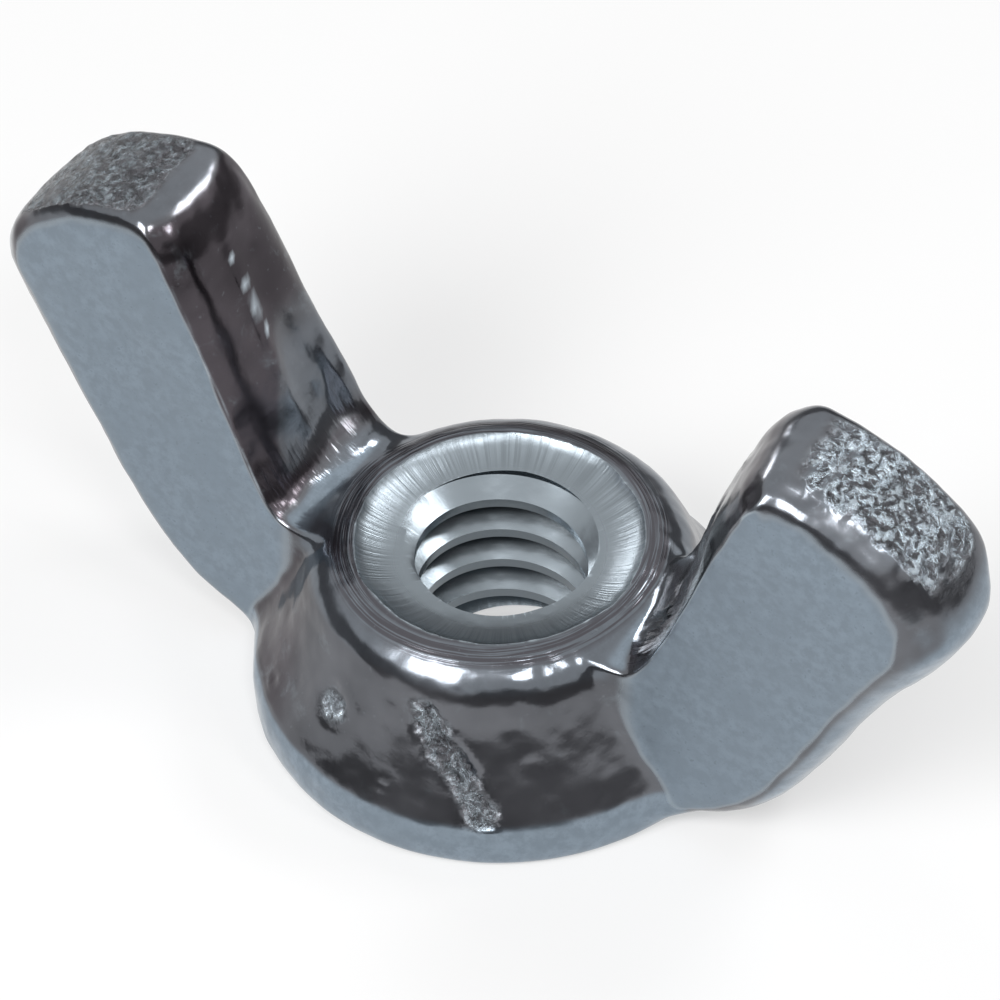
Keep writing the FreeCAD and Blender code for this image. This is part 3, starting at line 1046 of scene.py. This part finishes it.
def add_camera():
    away = Vector((
        math.sin(CAMERA_AZIMUTH) * math.cos(CAMERA_ELEVATION),
        -math.cos(CAMERA_AZIMUTH) * math.cos(CAMERA_ELEVATION),
        math.sin(CAMERA_ELEVATION),
    ))
    right = Vector((math.cos(CAMERA_AZIMUTH), math.sin(CAMERA_AZIMUTH), 0))
    up = away.cross(right)
    frame_axes = Matrix((right, up, away)).transposed()
    turn = Matrix.Rotation(-CAMERA_ROLL, 3, "Z")
    data = bpy.data.cameras.new("camera")
    data.lens = CAMERA_LENS
    data.sensor_width = CAMERA_SENSOR
    data.shift_x, data.shift_y = CAMERA_SHIFT
    data.clip_start = 0.01
    data.clip_end = 5
    camera = bpy.data.objects.new("camera", data)
    camera.matrix_world = Matrix.Translation(CAMERA_TARGET + away * CAMERA_DISTANCE) @ (
        frame_axes @ turn
    ).to_4x4()
    bpy.context.scene.collection.objects.link(camera)
    bpy.context.scene.camera = camera


def seen_directly(bench):
    """One for rays from the camera, or mirrored or refracted towards it."""
    path = bench.node("ShaderNodeLightPath")
    seen = bench.math("MAXIMUM", path.outputs["Is Camera Ray"], path.outputs["Is Glossy Ray"])
    return bench.math("MAXIMUM", seen, path.outputs["Is Transmission Ray"])


FLOOR_SIZE = 2.0
FLOOR_TONE = 0.36
FLOOR_SHARE = 0.52
WORLD_FILL = 0.25


def add_floor(stage):
    bm = bmesh.new()
    bmesh.ops.create_grid(bm, x_segments=1, y_segments=1, size=FLOOR_SIZE)
    floor = finish_piece("floor", bm)
    material = bpy.data.materials.new("floor")
    material.use_nodes = True
    tree = material.node_tree
    shader = tree.nodes["Principled BSDF"]
    shader.inputs["Base Color"].default_value = rgba(stage.backdrop, FLOOR_TONE)
    shader.inputs["Roughness"].default_value = 1.0
    shader.inputs["Specular IOR Level"].default_value = 0.0
    bench = NodeBench(material)
    shader.inputs["Emission Color"].default_value = rgba(stage.backdrop)
    lift = bench.math("MULTIPLY", seen_directly(bench), FLOOR_SHARE)
    bench.join(lift, shader.inputs["Emission Strength"])
    floor.data.materials.append(material)


def add_world(stage):
    world = bpy.data.worlds.new("world")
    bpy.context.scene.world = world
    world.use_nodes = True
    bench = NodeBench(world)
    glow = world.node_tree.nodes["Background"]
    glow.inputs["Color"].default_value = rgba(stage.backdrop)
    bench.join(bench.blend(seen_directly(bench), WORLD_FILL, 1.0), glow.inputs["Strength"])


FLAG_COUNT = 12
FLAG_DISTANCE = 0.3
FLAG_WIDTH = 0.165
FLAG_HEIGHT = 0.14
FLAG_TONE = (0.4, 0.39, 0.4)


def add_flag(name, azimuth_deg):
    """A dark card that stands round the nut and is seen only in its plating."""
    bm = bmesh.new()
    bmesh.ops.create_grid(bm, x_segments=1, y_segments=1, size=0.5)
    away = direction(azimuth_deg, 0)
    across = Vector((-away.y, away.x, 0))
    for v in bm.verts:
        rise = FLAG_HEIGHT * (v.co.y + 0.5)
        v.co = away * FLAG_DISTANCE + across * (v.co.x * FLAG_WIDTH) + Vector(AXIS) * rise
    flag = finish_piece(name, bm)
    flag.visible_camera = False
    flag.visible_diffuse = False
    flag.visible_shadow = False
    material = bpy.data.materials.new(name)
    material.use_nodes = True
    shader = material.node_tree.nodes["Principled BSDF"]
    shader.inputs["Base Color"].default_value = (*FLAG_TONE, 1)
    shader.inputs["Roughness"].default_value = 1.0
    shader.inputs["Specular IOR Level"].default_value = 0.0
    flag.data.materials.append(material)


# Each lamp: its azimuth and elevation in degrees, its two sides in metres, its brightness.
SOFTBOXES = [
    ("softbox_left", -104, 44, (0.12, 0.12), 11),
    ("softbox_camera", -42, 56, (0.06, 0.06), 14),
    ("softbox_right", 2, 42, (0.05, 0.05), 13),
    ("softbox_far", 58, 48, (0.085, 0.055), 12),
    ("softbox_back", 158, 20, (0.08, 0.05), 10),
]


class WINGNUT_OT_stage(bpy.types.Operator):
    """Set out the floor, the lamps and the camera"""

    bl_idname = "wingnut.stage"
    bl_label = "Stage"

    def execute(self, context):
        stage = context.scene.wing_nut_stage
        add_floor(stage)
        add_world(stage)
        for k in range(FLAG_COUNT):
            add_flag(f"flag_{k}", 360 * k / FLAG_COUNT - 180)
        for lamp in SOFTBOXES:
            softbox(*lamp)
        add_camera()
        context.scene.view_settings.view_transform = "Standard"
        return {"FINISHED"}


class WINGNUT_PT_panel(bpy.types.Panel):
    """The wing nut's sizes, colours and build steps"""

    bl_idname = "WINGNUT_PT_panel"
    bl_label = "Wing Nut"
    bl_space_type = "VIEW_3D"
    bl_region_type = "UI"
    bl_category = "Wing Nut"

    def draw(self, context):
        for name, group in GROUPS:
            settings = getattr(context.scene, name)
            for key in group.__annotations__:
                self.layout.prop(settings, key)
        for operator in OPERATORS:
            self.layout.operator(operator.bl_idname)


GROUPS = (
    ("wing_nut_sizes", WingNutSizes),
    ("wing_nut_finish", WingNutFinish),
    ("wing_nut_stage", WingNutStage),
)
OPERATORS = (WINGNUT_OT_body, WINGNUT_OT_stage)
CLASSES = (*(group for _, group in GROUPS), *OPERATORS, WINGNUT_PT_panel)


def register():
    for cls in CLASSES:
        bpy.utils.register_class(cls)
    for name, group in GROUPS:
        setattr(bpy.types.Scene, name, PointerProperty(type=group))


def unregister():
    for name, _ in GROUPS:
        delattr(bpy.types.Scene, name)
    for cls in reversed(CLASSES):
        bpy.utils.unregister_class(cls)


def main():
    register()
    bpy.ops.wingnut.body()
    bpy.ops.wingnut.stage()


if __name__ == "__main__":
    main()
